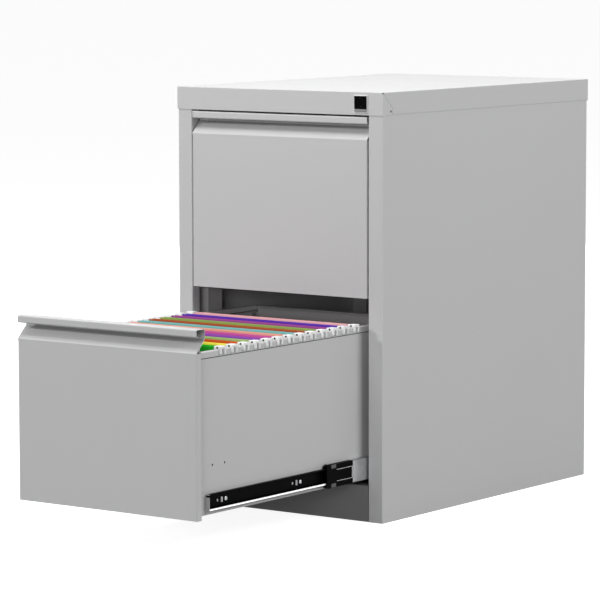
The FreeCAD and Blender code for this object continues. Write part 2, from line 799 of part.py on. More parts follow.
def cabinet():
    """Every fixed piece of the carcass."""
    right_panel = side_panel()
    pieces = {"right_side_panel": right_panel, "left_side_panel": mirrored(right_panel),
              "back_panel": back_panel(), "base_pan": base_pan(), "top_cap": top_cap(),
              "lock_bezel": lock_bezel(), "lock_body": lock_body(), "lock_bar_guides": lock_bar_guides(),
              "lock_core": lock_core(), "lock_bar": lock_bar()}
    for place, front in (("front", front_upright), ("rear", rear_upright)):
        right_upright = upright(front)
        pieces[place + "_right_upright"] = right_upright
        pieces[place + "_left_upright"] = mirrored(right_upright)
    for name, bottom in (("lower", lower_front_bottom), ("upper", upper_front_bottom)):
        right_rail = cabinet_rail(slide_centre(bottom))
        pieces[name + "_right_cabinet_rail"] = right_rail
        pieces[name + "_left_cabinet_rail"] = mirrored(right_rail)
    return pieces


def main():
    os.makedirs("parts", exist_ok=True)
    pieces = cabinet()
    pieces.update(drawer("upper", upper_front_bottom, 0))
    pieces.update(drawer("lower", lower_front_bottom, lower_drawer_open))
    pieces.update(hanging_files(lower_front_bottom, lower_drawer_open))
    for name, shape in pieces.items():
        shape.exportStep("parts/" + name + ".step")
    print(len(pieces), "pieces")


main()
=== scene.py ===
import json
import math

import bpy
from mathutils import Euler, Matrix, Vector


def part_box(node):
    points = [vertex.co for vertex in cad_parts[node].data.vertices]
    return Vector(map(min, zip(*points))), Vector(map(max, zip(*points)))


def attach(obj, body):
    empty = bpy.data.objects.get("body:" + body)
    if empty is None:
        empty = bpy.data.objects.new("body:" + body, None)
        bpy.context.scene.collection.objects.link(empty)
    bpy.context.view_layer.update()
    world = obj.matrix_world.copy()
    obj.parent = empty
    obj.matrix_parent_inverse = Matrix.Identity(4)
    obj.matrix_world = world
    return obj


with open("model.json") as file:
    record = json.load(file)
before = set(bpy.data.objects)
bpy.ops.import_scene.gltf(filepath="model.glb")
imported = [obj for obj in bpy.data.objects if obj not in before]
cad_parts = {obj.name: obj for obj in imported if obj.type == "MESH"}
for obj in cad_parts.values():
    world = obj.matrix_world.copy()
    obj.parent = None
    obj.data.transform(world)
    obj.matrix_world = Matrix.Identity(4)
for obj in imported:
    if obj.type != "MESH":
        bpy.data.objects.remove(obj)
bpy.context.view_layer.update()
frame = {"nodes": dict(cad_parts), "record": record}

# Lengths are metres in the cabinet's own frame: +X to the viewer's right, -Y to the front, +Z up.
# The new pieces lie on the part's solids, so their places below follow the part's own sizes.
# A CROWN, RIM or STEPS value lists rings pressed into a face: how far in, and how far up, for each.

# Camera, as fitted to the corners of the cabinet in the photograph

CAMERA_YAW = 35.979
CAMERA_PITCH = 6.119
CAMERA_ROLL = -0.091
CAMERA_DISTANCE = 6.0359
CAMERA_ASIDE = -0.15438
CAMERA_UP = -0.02488
CAMERA_TARGET = Vector((0, 0, 0.36))
CAMERA_FAR_CLIP = 300.0
PHOTO_PIXELS = 600
FOCAL_PIXELS = 3405.2
SENSOR = 36.0

# Slides

SLIDE_FRONT = -0.291
SLIDE_LENGTH = 0.550
SLIDE_CENTRES = {"upper": 0.4015, "lower": 0.091}
DRAWER_OUT = {"upper": 0.0, "lower": 0.464}
MIDDLE_SHARE = 0.32
WALL_FACE = 0.1720
WEB_FACE = 0.1732
NOSE_FACE = 0.1828
NOSE_LENGTH = 0.074
TAB_DEPTH = 0.0014

SCREW_OFFSETS = (0.0525, 0.2535, 0.5015)
SCREW_RADIUS = 0.0033
SCREW_DEPTH = 0.0012
SCREW_CROWN = ((0.0005, 0.00035), (0.0007, 0.00022), (0.0007, 0.00008))
RECESS_LEVEL = 0.0016
RECESS_ARM = (0.0034, 0.00075, 0.0016)

LUG_OFFSETS = (0.0410, 0.2420, 0.4900)
LUG_LOW = (-0.0042, -0.0017, -0.0001)
LUG_HIGH = (0.0042, 0.0017, 0.0030)
LUG_TOP_ROUND = 0.0005
LUG_CORNER_ROUND = 0.0004

PILOT_BEFORE_LUG = 0.011
STUD_RADIUS = 0.0012
STUD_DEPTH = 0.0024
STUD_MIDDLE = 0.0011
STUD_STRETCH = 1.8
STUD_CROWN = ((0.0004, 0.0003),)

DIMPLE_FROM_NOSE = 0.022
DIMPLE_FLOOR = 0.1824
RINGS_RADIUS = 0.0088
RINGS_DEPTH = 0.0002
RINGS_STEPS = ((0.0006, 0.0), (0.0007, 0.0002), (0.0008, 0.0), (0.0007, -0.0002),
               (0.0009, 0.0), (0.0007, 0.0002), (0.0008, 0.0), (0.0007, -0.0002))

LIP_TIP = 0.1805
LIP_DROP = 0.013
CURL_DEPTH = 0.0013
CURL_PROUD = 0.00008
CURL_BELOW = 0.00003
CURL_TOP = 0.0103
CURL_SET_BACK = 0.0013
CURL_SHORTER = 0.0014
CURL_ROUND = 0.0005

STRIP_HALF = 0.0101
STRIP_INNER_HALF = 0.0091
STRIP_BAR = 0.0014
STRIP_LEG = 0.0436
STRIP_PROUD = 0.00004
STRIP_FROM_END = 0.0012
STRIP_ROUND = 0.0002
PAD_HALF_X = 0.0031
PAD_HALF_Y = 0.0066
PAD_PROUD = 0.00005
PAD_ROUND = 0.0012
PAD_BEHIND_FRONT = 0.0190
PAD_OFFSET = 0.0157
TRIM_SUNK = 0.0005

# Drawer walls

WALL_HOLE_LEVELS = {"upper": 0.4591, "lower": 0.1486}
WALL_HOLE_Y = -0.2714
WALL_HOLE_PITCH = 0.032
# Painted shade: near-black discs in the punched holes of the drawer walls
WALL_HOLE_SHADE_RADIUS = 0.0015
WALL_HOLE_SHADE_DEPTH = 0.0006
WALL_HOLE_SHADE_MIDDLE = -0.0007
WALL_HOLE_SHADE_STEPS = ((0.0004, -0.0002),)

RAIL_BAND = 0.010
# Painted shadow: a near-black strip under the step of the rail band
SHADOW_LINE_HEIGHT = 0.0015
SHADOW_LINE_SUNK = 0.0001
SHADOW_LINE_PROUD = 0.0005
SHADOW_LINE_FROM_FRONT = 0.024
SHADOW_LINE_FROM_BACK = 0.002
SHADOW_LINE_ROUND = 0.0003

# Hanging files

FILE_FIRST = -0.7115
FILE_PITCH = 0.0305
FILE_TOP = 0.3335
FILE_HALF_WIDTH = 0.1614
FOLD_NEAR = 0.00395
FOLD_FAR = 0.00665
FOLD_HEIGHT = 0.0112
FOLD_PROUD = 0.0004
FOLD_ROUND = 0.0009

RAIL_TOP = 0.330
HOOK_INNER = 0.1631
HOOK_OUTER = 0.1767
HEAD_HALF = 0.0069
HEAD_FOOT = 0.0006
HEAD_TOP = 0.0051
HEAD_ROUND = 0.0008
HEAD_RIM = ((0.0012, 0.0),)
# Painted shade: a near-black disc in the hole of each hook head
HOOK_HOLE_SHADE_X = 0.1696
HOOK_HOLE_SHADE_RISE = 0.0025
HOOK_HOLE_SHADE_RADIUS = 0.0017
HOOK_HOLE_SHADE_DEPTH = 0.0006
HOOK_HOLE_SHADE_STEPS = ((0.0004, 0.0001), (0.0002, -0.0003))

# Cap and lock

CAP_TOP = 0.720
CAP_SIDE_FACE = 0.2140
CAP_HOLE_Y = -0.3020
CAP_HOLE_Z = 0.6880
RIVET_RADIUS = 0.00195
RIVET_DEPTH = 0.0016
RIVET_STEPS = ((0.0004, -0.0003),)
CAP_CORNER_X = 0.2136
CAP_CORNER_Y = -0.3236
RELIEF_HALF = 0.0013
RELIEF_FOOT = 0.0034
RELIEF_TOP = 0.0004
RELIEF_ROUND = 0.0009

RIM_LOW = (0.1577, -0.3264, 0.6858)
RIM_HIGH = (0.1843, -0.3249, 0.7148)
RIM_ROUND = 0.0005
SILL_LOW = (0.1590, -0.3284, 0.6874)
SILL_HIGH = (0.1830, -0.3262, 0.6918)
SILL_ROUND = 0.0019

# A place this near to a face lies on it, and a normal this much along an axis faces that way
CLOSE = 0.0001
FACING = 0.9

# Colours

PAINT = (0.60, 0.60, 0.605)
INNER_PAINT = (0.50, 0.50, 0.505)
# The plinth's grey paint, darkened as a painted shadow of the open drawer above it
PLINTH_PAINTED_SHADOW = (0.17, 0.17, 0.174)
DIPPED_BLACK = (0.0025, 0.0025, 0.0028)
BARE_TAB = (0.55, 0.55, 0.56, 1)
ZINC = (0.44, 0.45, 0.46)
NOSE_BLACK = (0.0025, 0.0025, 0.0025)
LOCK_BLACK = (0.003, 0.003, 0.003)
HOOK_WHITE = (0.92, 0.925, 0.93)
BAR_STEEL = (0.66, 0.67, 0.68)
# Partly plated metal, partly a painted highlight on the slide noses' ridges
PLATING_AND_PAINTED_HIGHLIGHT = (0.80, 0.81, 0.82)
# Painted highlight: the near-white of the slides' lower lip curls
PAINTED_HIGHLIGHT_LIP = (0.95, 0.95, 0.955)
# Painted shadow: the dark grey of the sill under the lock
SILL_PAINTED_SHADOW = (0.26, 0.26, 0.265)
PAD_GREY = (0.11, 0.11, 0.11)
# Near-black for painted shade under the rail bands, in holes and corner reliefs, and for the cap's
# rivets
DARK_AND_PAINTED_SHADE = (0.035, 0.035, 0.036)
RIM_GREY = (0.80, 0.80, 0.805)
CARD_COLOURS = {
    1: (0.010, 0.440, 0.012), 2: (0.90, 0.80, 0.08), 3: (0.60, 0.085, 0.010),
    4: (0.36, 0.52, 0.17), 5: (0.30, 0.07, 0.46), 6: (0.58, 0.09, 0.34),
    7: (0.78, 0.36, 0.27), 8: (0.20, 0.50, 0.49), 9: (0.40, 0.085, 0.025),
    10: (0.27, 0.38, 0.09), 11: (0.34, 0.06, 0.28), 12: (0.105, 0.03, 0.42),
    13: (0.85, 0.45, 0.47)}

# Painted shade: the paint's colour is darkened in narrow creases, such as under the pull lips, by
# each piece's own shape alone
PAINTED_SHADE_REACH = 0.022
PAINTED_SHADE_DEEP = 0.36
PAINTED_SHADE_OPEN = 0.85
PAINTED_SHADE_TONE = 0.26
PAINTED_SHADE_SAMPLES = 8

# Most of a noise lies between these two
NOISE_LOW = 0.3
NOISE_HIGH = 0.7

# Studio

FLOOR_SIZE = 240.0
FLOOR_LIT_BY = (0.14, 0.14, 0.14, 1)
FLOOR_SHOWN = (0.72, 0.72, 0.72, 1)
FLOOR_GLOW = 0.88
WORLD_LIGHT = 0.12
WORLD_SHOWN = 1.0


# Building shader trees

def node(tree, kind, **settings):
    made = tree.nodes.new(kind)
    for name, value in settings.items():
        setattr(made, name, value)
    return made


def wire(tree, source, target):
    tree.links.new(source, target)


def noise(tree, vector, scale, detail=3.0, roughness=0.5, distortion=0.0):
    made = node(tree, "ShaderNodeTexNoise")
    made.inputs["Scale"].default_value = scale
    made.inputs["Detail"].default_value = detail
    made.inputs["Roughness"].default_value = roughness
    made.inputs["Distortion"].default_value = distortion
    wire(tree, vector, made.inputs["Vector"])
    return made.outputs["Fac"]


def spread(tree, value, low_in, high_in, low_out, high_out):
    """Maps one range of a value to another, and holds it there at both ends."""
    made = node(tree, "ShaderNodeMapRange")
    made.inputs["From Min"].default_value = low_in
    made.inputs["From Max"].default_value = high_in
    made.inputs["To Min"].default_value = low_out
    made.inputs["To Max"].default_value = high_out
    wire(tree, value, made.inputs["Value"])
    return made.outputs["Result"]


def from_noise(tree, value, low_out, high_out):
    """Maps the usual range of a noise to another."""
    return spread(tree, value, NOISE_LOW, NOISE_HIGH, low_out, high_out)


def maths(tree, operation, a, b, c=None):
    made = node(tree, "ShaderNodeMath", operation=operation)
    for slot_number, value in enumerate((a, b, c)):
        if value is None:
            continue
        if hasattr(value, "is_linked"):
            wire(tree, value, made.inputs[slot_number])
        else:
            made.inputs[slot_number].default_value = value
    return made.outputs[0]


def stretched(tree, vector, stretch):
    made = node(tree, "ShaderNodeMapping")
    made.inputs["Scale"].default_value = stretch
    wire(tree, vector, made.inputs["Vector"])
    return made.outputs["Vector"]


def object_place(tree):
    """Object coordinates, which are metres in the cabinet's own frame."""
    return node(tree, "ShaderNodeTexCoord").outputs["Object"]


# Shared effects

def effect_group(name, numbers):
    """A node group that takes a place and named numbers, and gives tone, roughness and height."""
    group = bpy.data.node_groups.new(name, "ShaderNodeTree")
    sockets = group.interface
    sockets.new_socket(name="Place", in_out="INPUT", socket_type="NodeSocketVector")
    for label, value in numbers.items():
        socket = sockets.new_socket(name=label, in_out="INPUT", socket_type="NodeSocketFloat")
        socket.default_value = value
    for label in ("Tone", "Roughness", "Height"):
        sockets.new_socket(name=label, in_out="OUTPUT", socket_type="NodeSocketFloat")
    given = node(group, "NodeGroupInput").outputs
    out = node(group, "NodeGroupOutput").inputs
    return group, given, out


def powder_skin_group():
    """The skin of baked powder paint: orange peel, a few specks, a slow drift, and painted shade in
    its creases.
    """
    group, given, out = effect_group(
        "powder_skin", {"Peel Height": 0.5, "Tone Drift": 0.02, "Roughness": 0.42})
    peel_scale, grain_scale, slow_scale, cloud_scale, speck_scale = 900.0, 2600.0, 4.5, 38.0, 1400.0
    peel_share, slow_share = 0.7, 0.75
    speck_from, speck_to, speck_tone = 0.70, 0.78, -0.05
    place = given["Place"]
    cells = node(group, "ShaderNodeTexVoronoi", feature="SMOOTH_F1")
    cells.inputs["Scale"].default_value = peel_scale
    wire(group, place, cells.inputs["Vector"])
    fine = noise(group, place, grain_scale, detail=2.0)
    peel = maths(group, "MULTIPLY_ADD", cells.outputs["Distance"], peel_share,
                 maths(group, "MULTIPLY", fine, 1 - peel_share))
    wire(group, maths(group, "MULTIPLY", peel, given["Peel Height"]), out["Height"])
    slow = noise(group, place, slow_scale, detail=2.0, roughness=0.4)
    cloud = noise(group, place, cloud_scale, detail=3.0, roughness=0.6)
    drift = maths(group, "MULTIPLY_ADD", slow, slow_share,
                  maths(group, "MULTIPLY", cloud, 1 - slow_share))
    swing = maths(group, "MULTIPLY", maths(group, "SUBTRACT", drift, 0.5), given["Tone Drift"])
    specks = spread(group, noise(group, place, speck_scale, detail=1.0),
                    speck_from, speck_to, 0.0, speck_tone)
    tone = maths(group, "ADD", maths(group, "MULTIPLY_ADD", swing, 2.0, 1.0), specks)
    # Painted shade: occlusion within the piece darkens the paint's colour in its creases
    occlusion = node(group, "ShaderNodeAmbientOcclusion", samples=PAINTED_SHADE_SAMPLES, only_local=True)
    occlusion.inputs["Distance"].default_value = PAINTED_SHADE_REACH
    shade = spread(group, occlusion.outputs["AO"], PAINTED_SHADE_DEEP, PAINTED_SHADE_OPEN, PAINTED_SHADE_TONE, 1.0)
    wire(group, maths(group, "MULTIPLY", tone, shade), out["Tone"])
    rub = from_noise(group, cloud, -0.03, 0.03)
    wire(group, maths(group, "ADD", given["Roughness"], rub), out["Roughness"])
    return group


def rolled_metal_group():
    """Plated strip: long rolling lines, a faint spangle, and patches that shine more or less."""
    group, given, out = effect_group("rolled_metal", {"Line Height": 0.3, "Spangle": 0.1})
    line_scale, spangle_scale, patch_scale = 2200.0, 260.0, 24.0
    place = given["Place"]
    along = stretched(group, place, (1.0, 0.02, 1.0))
    lines = noise(group, along, line_scale, detail=3.0, roughness=0.6)
    cells = node(group, "ShaderNodeTexVoronoi")
    cells.inputs["Scale"].default_value = spangle_scale
    wire(group, place, cells.inputs["Vector"])
    grey = node(group, "ShaderNodeSeparateColor")
    wire(group, cells.outputs["Color"], grey.inputs["Color"])
    flake = maths(group, "MULTIPLY", maths(group, "SUBTRACT", grey.outputs["Red"], 0.5),
                  given["Spangle"])
    streak = from_noise(group, lines, -0.05, 0.05)
    wire(group, maths(group, "ADD", maths(group, "ADD", flake, streak), 1.0), out["Tone"])
    patch = noise(group, place, patch_scale, detail=3.0, roughness=0.6)
    wire(group, from_noise(group, patch, 0.26, 0.42), out["Roughness"])
    wire(group, maths(group, "MULTIPLY", lines, given["Line Height"]), out["Height"])
    return group


def card_fibre_group():
    """Dyed card: matted fibres, flecks where the dye took less, and soft waves of the sheet."""
    group, given, out = effect_group("card_fibre", {"Fleck": 0.06})
    fibre_scale, wave_scale, fleck_scale = 1500.0, 12.0, 700.0
    wave_height, fleck_from, fleck_to = 6.0, 0.45, 0.75
    place = given["Place"]
    along = stretched(group, place, (0.25, 1.0, 1.0))
    fibres = noise(group, along, fibre_scale, detail=4.0, roughness=0.7, distortion=0.6)
    waves = noise(group, place, wave_scale, detail=1.0)
    wire(group, maths(group, "MULTIPLY_ADD", waves, wave_height, fibres), out["Height"])
    pale = spread(group, noise(group, place, fleck_scale, detail=2.0),
                  fleck_from, fleck_to, 0.0, 1.0)
    flecks = maths(group, "MULTIPLY", pale, given["Fleck"])
    shade = from_noise(group, fibres, 0.93, 1.04)
    wire(group, maths(group, "ADD", flecks, shade), out["Tone"])
    wire(group, from_noise(group, fibres, 0.78, 0.92), out["Roughness"])
    return group


def moulded_skin_group():
    """The spark-eroded skin of moulded plastic, with a slight flow mark."""
    group, given, out = effect_group("moulded_skin", {"Grain": 0.4, "Roughness": 0.4})
    grain_scale, flow_scale = 3200.0, 90.0
    place = given["Place"]
    grain = noise(group, place, grain_scale, detail=2.0, roughness=0.6)
    flow = noise(group, place, flow_scale, detail=2.0, distortion=1.2)
    wire(group, maths(group, "MULTIPLY", grain, given["Grain"]), out["Height"])
    wire(group, from_noise(group, flow, 0.94, 1.06), out["Tone"])
    rub = from_noise(group, flow, -0.05, 0.05)
    wire(group, maths(group, "ADD", given["Roughness"], rub), out["Roughness"])
    return group


# Finishes

def finish_material(name, colour, group, numbers, bump, metallic=0.0, specular=0.5):
    """A finish: its own colour with the tone, roughness and height of a shared effect."""
    material = bpy.data.materials.new(name)
    material.use_nodes = True
    tree = material.node_tree
    tree.nodes.clear()
    surface = node(tree, "ShaderNodeOutputMaterial")
    shader = node(tree, "ShaderNodeBsdfPrincipled")
    wire(tree, shader.outputs["BSDF"], surface.inputs["Surface"])
    effect = node(tree, "ShaderNodeGroup", node_tree=group)
    for label, number in numbers.items():
        effect.inputs[label].default_value = number
    wire(tree, object_place(tree), effect.inputs["Place"])
    tint = node(tree, "ShaderNodeVectorMath", operation="SCALE")
    tint.inputs[0].default_value = colour
    wire(tree, effect.outputs["Tone"], tint.inputs["Scale"])
    wire(tree, tint.outputs["Vector"], shader.inputs["Base Color"])
    wire(tree, effect.outputs["Roughness"], shader.inputs["Roughness"])
    relief = node(tree, "ShaderNodeBump")
    relief.inputs["Strength"].default_value = 1.0
    relief.inputs["Distance"].default_value = bump
    wire(tree, effect.outputs["Height"], relief.inputs["Height"])
    wire(tree, relief.outputs["Normal"], shader.inputs["Normal"])
    shader.inputs["Metallic"].default_value = metallic
    shader.inputs["Specular IOR Level"].default_value = specular
    return material


def powder_finish(name, colour, peel, drift, roughness, bump, **extra):
    numbers = {"Peel Height": peel, "Tone Drift": drift, "Roughness": roughness}
    return finish_material(name, colour, powder, numbers, bump, **extra)


def rolled_finish(name, colour, line_height, spangle, bump, metallic):
    numbers = {"Line Height": line_height, "Spangle": spangle}
    return finish_material(name, colour, rolled, numbers, bump, metallic=metallic)


def moulded_finish(name, colour, grain, roughness, bump, **extra):
    numbers = {"Grain": grain, "Roughness": roughness}
    return finish_material(name, colour, moulded, numbers, bump, **extra)


def wear_front_tabs(material):
    """Bares the front stop tab of each drawer member, found by its place in the cabinet's frame."""
    tree = material.node_tree
    shader = next(made for made in tree.nodes if made.type == "BSDF_PRINCIPLED")
    dipped = shader.inputs["Base Color"].links[0].from_socket
    place = object_place(tree)
    parts = node(tree, "ShaderNodeSeparateXYZ")
    wire(tree, place, parts.inputs["Vector"])
    between_levels = sum(SLIDE_CENTRES.values()) / len(SLIDE_CENTRES)
    upper = maths(tree, "GREATER_THAN", parts.outputs["Z"], between_levels)
    out = DRAWER_OUT["lower"]
    front = maths(tree, "MULTIPLY_ADD", upper, out, SLIDE_FRONT - out)
    tab = maths(tree, "LESS_THAN", maths(tree, "SUBTRACT", parts.outputs["Y"], front), TAB_DEPTH)
    scuff_scale = 300.0
    scuffs = from_noise(tree, noise(tree, place, scuff_scale, detail=3.0, roughness=0.6), 0.85, 1.0)
    mix = node(tree, "ShaderNodeMix", data_type="RGBA")
    wire(tree, maths(tree, "MULTIPLY", tab, scuffs), mix.inputs["Factor"])
    wire(tree, dipped, mix.inputs["A"])
    mix.inputs["B"].default_value = BARE_TAB
    wire(tree, mix.outputs["Result"], shader.inputs["Base Color"])


powder = powder_skin_group()
rolled = rolled_metal_group()
fibre = card_fibre_group()
moulded = moulded_skin_group()

finishes = {
    "cabinet_paint": powder_finish("light_grey_powder_coat", PAINT, peel=1.0, drift=0.02,
                                   roughness=0.42, bump=0.00004),
    "inner_paint": powder_finish("inner_grey_powder_coat", INNER_PAINT, peel=1.3, drift=0.04,
                                 roughness=0.5, bump=0.00005),
    # Painted shadow: the plinth's grey is darkened for the open drawer's shadow
    "plinth_paint": powder_finish("plinth_grey_with_painted_shadow", PLINTH_PAINTED_SHADOW, peel=1.2, drift=0.04,
                                  roughness=0.5, bump=0.00005),
    "drawer_rail_black": powder_finish("black_dipped_slide", DIPPED_BLACK, peel=0.7, drift=0.1,
                                       roughness=0.36, bump=0.00003, specular=0.01),
    "zinc": rolled_finish("zinc_plated_strip", ZINC, line_height=0.3, spangle=0.12,
                          bump=0.00003, metallic=0.85),
    "black_plastic": moulded_finish("dark_nylon_nose", NOSE_BLACK, grain=0.6, roughness=0.38,
                                    bump=0.00003, specular=0.01),
    "lock_black": moulded_finish("black_lock_moulding", LOCK_BLACK, grain=0.3, roughness=0.3,
                                 bump=0.00002, specular=0.02),
    "hook_white": moulded_finish("white_hook_moulding", HOOK_WHITE, grain=0.4, roughness=0.35,
                                 bump=0.00003),
    "file_bar_steel": rolled_finish("bright_file_bar", BAR_STEEL, line_height=0.2, spangle=0.05,
                                    bump=0.00002, metallic=0.9),
    # Light strips on the noses: plated edges, and partly a painted highlight on their ridges
    "plated_trim_and_highlight": rolled_finish("light_plated_trim_and_highlight", PLATING_AND_PAINTED_HIGHLIGHT, line_height=0.2,
                                 spangle=0.06, bump=0.00002, metallic=0.1),
    # Painted highlight along the black lower lips of the slides
    "lip_painted_highlight": rolled_finish("rolled_lip_painted_highlight", PAINTED_HIGHLIGHT_LIP, line_height=0.1, spangle=0.03,
                                bump=0.00001, metallic=0.9),
    # Painted shadow under the lock, on its rounded sill
    "lock_sill_painted_shadow": moulded_finish("grey_lock_sill_painted_shadow", SILL_PAINTED_SHADOW, grain=0.3, roughness=0.45,
                                     bump=0.00002),
    "grey_pad": moulded_finish("grey_nose_pad", PAD_GREY, grain=0.5, roughness=0.5,
                               bump=0.00003, specular=0.2),
    # Near-black: painted shade under the rail bands, in holes and corner reliefs, and the cap's
    # rivets
    "dark_and_painted_shade": powder_finish("dark_sheet_and_painted_shade", DARK_AND_PAINTED_SHADE, peel=0.8, drift=0.05,
                                roughness=0.7, bump=0.00003, specular=0.05),
    "lock_rim_paint": moulded_finish("bright_lock_rim", RIM_GREY, grain=0.3, roughness=0.35,
                                     bump=0.00002)}
wear_front_tabs(finishes["drawer_rail_black"])
for number, colour in CARD_COLOURS.items():
    finishes["card_%02d" % number] = finish_material(
        "dyed_card_%02d" % number, colour, fibre, {"Fleck": 0.08}, bump=0.00008, specular=0.25)


def dress_nodes():
    """Gives each solid of the part the finish of its slot in the record."""
    for row in frame["record"]["subparts"]:
        piece = frame["nodes"][row["node"]]
        finish = finishes[row["material_slot"]]
        for holder in piece.material_slots:
            holder.material = finish
        if not piece.material_slots:
            piece.data.materials.append(finish)


# New pieces, modelled as by hand

def nothing_selected():
    if bpy.context.mode != "OBJECT":
        bpy.ops.object.mode_set(mode="OBJECT")
    bpy.ops.object.select_all(action="DESELECT")


def take_up(piece):
    """Makes the piece the one that the next operators work on."""
    nothing_selected()
    piece.select_set(True)
    bpy.context.view_layer.objects.active = piece


def fix_in_place():
    bpy.ops.object.transform_apply(location=True, rotation=True, scale=True)


def smooth(degrees=35):
    bpy.ops.object.shade_smooth_by_angle(angle=math.radians(degrees))


def settle(piece, name, finish, body):
    """Puts a finished piece's place in its mesh, names it, paints it and lets it ride."""
    take_up(piece)
    fix_in_place()
    piece.name = name
    piece.data.name = name
    piece.data.materials.clear()
    piece.data.materials.append(finishes[finish])
    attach(piece, body)


def blank(low, high):
    """A bar of stock between two corners, the start of a piece."""
    nothing_selected()
    bpy.ops.mesh.primitive_cube_add(size=1.0)
    piece = bpy.context.object
    piece.location = [(a + b) / 2 for a, b in zip(low, high)]
    piece.scale = [b - a for a, b in zip(low, high)]
    fix_in_place()
    return piece


def rod(radius, depth, middle=(0, 0, 0), turn=(0, 0, 0), sides=24):
    """A length of round stock, the start of a turned piece."""
    nothing_selected()
    bpy.ops.mesh.primitive_cylinder_add(vertices=sides, radius=radius, depth=depth,
                                        location=middle, rotation=turn)
    return bpy.context.object


def round_edges(piece, wanted, width, segments=2):
    """Bevels the edges of the piece whose middle and run pass the test."""
    take_up(piece)
    corners = piece.data.vertices
    bpy.ops.object.mode_set(mode="EDIT")
    bpy.ops.mesh.select_mode(type="EDGE")
    bpy.ops.mesh.select_all(action="DESELECT")
    bpy.ops.object.mode_set(mode="OBJECT")
    for edge in piece.data.edges:
        start, end = (corners[i].co for i in edge.vertices)
        edge.select = wanted((start + end) / 2, end - start)
    bpy.ops.object.mode_set(mode="EDIT")
    bpy.ops.mesh.bevel(offset=width, segments=segments, profile=0.5)
    bpy.ops.object.mode_set(mode="OBJECT")
    smooth()
    return piece


def pick_faces(piece, wanted):
    """Selects the faces of the piece in edit mode whose centre and normal pass the test."""
    bpy.ops.mesh.select_mode(type="FACE")
    bpy.ops.mesh.select_all(action="DESELECT")
    bpy.ops.object.mode_set(mode="OBJECT")
    for face in piece.data.polygons:
        face.select = wanted(face.center, face.normal)
    bpy.ops.object.mode_set(mode="EDIT")


def press_rings(piece, wanted, steps):
    """Insets the faces that pass the test, once for each width and rise."""
    bpy.ops.object.mode_set(mode="EDIT")
    pick_faces(piece, wanted)
    for width, rise in steps:
        bpy.ops.mesh.inset(thickness=width, depth=rise)
    bpy.ops.object.mode_set(mode="OBJECT")


def copy_of(piece, turn, place):
    """A copy with its own mesh, turned and put in its place."""
    made = piece.copy()
    made.data = piece.data.copy()
    bpy.context.scene.collection.objects.link(made)
    made.matrix_world = Matrix.Translation(place) @ turn.to_matrix().to_4x4()
    return made


def join_pieces(pieces):
    nothing_selected()
    for piece in pieces:
        piece.select_set(True)
    bpy.context.view_layer.objects.active = pieces[0]
    bpy.ops.object.join()
    return bpy.context.object


def discard(*masters):
    for master in masters:
        bpy.data.objects.remove(master)


def faces_up(centre, normal):
    return normal.z > FACING


def outward(side):
    """The turn that makes a piece modelled facing +Z face away from the drawer's wall."""
    return Euler((0, side * math.pi / 2, 0))


# Slides: fixings, lips and noses

def pan_screw():
    """A pan-head screw with a cross recess, its head facing +Z, modelled once at the origin."""
    screw = rod(SCREW_RADIUS, SCREW_DEPTH, (0, 0, SCREW_DEPTH / 2))
    press_rings(screw, faces_up, SCREW_CROWN)
    arms = []
    for turn in (0.0, math.pi / 2):
        nothing_selected()
        bpy.ops.mesh.primitive_cube_add(size=1.0, location=(0, 0, RECESS_LEVEL),
                                        rotation=(0, 0, turn))
        arm = bpy.context.object
        arm.scale = RECESS_ARM
        arms.append(arm)
    for arm in arms:
        cut = screw.modifiers.new("cross_recess", "BOOLEAN")
        cut.operation = "DIFFERENCE"
        cut.object = arm
        take_up(screw)
        bpy.ops.object.modifier_apply(modifier=cut.name)
        discard(arm)
    smooth()
    return screw


def slide_lug():
    """The tongue that hooks the drawer's wall into a slot of the slide, facing +Z at the origin."""
    lug = blank(LUG_LOW, LUG_HIGH)
    round_edges(lug, lambda middle, run: middle.z > LUG_HIGH[2] - CLOSE, LUG_TOP_ROUND)
    return round_edges(lug, lambda middle, run: abs(run.z) > LUG_HIGH[2] / 2, LUG_CORNER_ROUND)


def pilot_stud():
    """The oval stud pressed through the pilot hole, facing +Z at the origin."""
    stud = rod(STUD_RADIUS, STUD_DEPTH, (0, 0, STUD_MIDDLE), sides=16)
    stud.scale = (STUD_STRETCH, 1.0, 1.0)
    fix_in_place()
    press_rings(stud, faces_up, STUD_CROWN)
    smooth(50)
    return stud


def dimple_rings():
    """The pressed rings in the round dimple of a middle member, facing +Z at the origin."""
    rings = rod(RINGS_RADIUS, RINGS_DEPTH, (0, 0, RINGS_DEPTH / 2), sides=48)
    press_rings(rings, faces_up, RINGS_STEPS)
    smooth(20)
    return rings


def slide_rows(master, offsets, face, out):
    """Copies of a piece at the given places of both slides of each drawer."""
    rows = {}
    for level, z in SLIDE_CENTRES.items():
        rows[level] = []
        for side in (-1, 1):
            for offset in offsets:
                place = Vector((side * face, SLIDE_FRONT + offset - out[level], z))
                rows[level].append(copy_of(master, outward(side), place))
    return rows


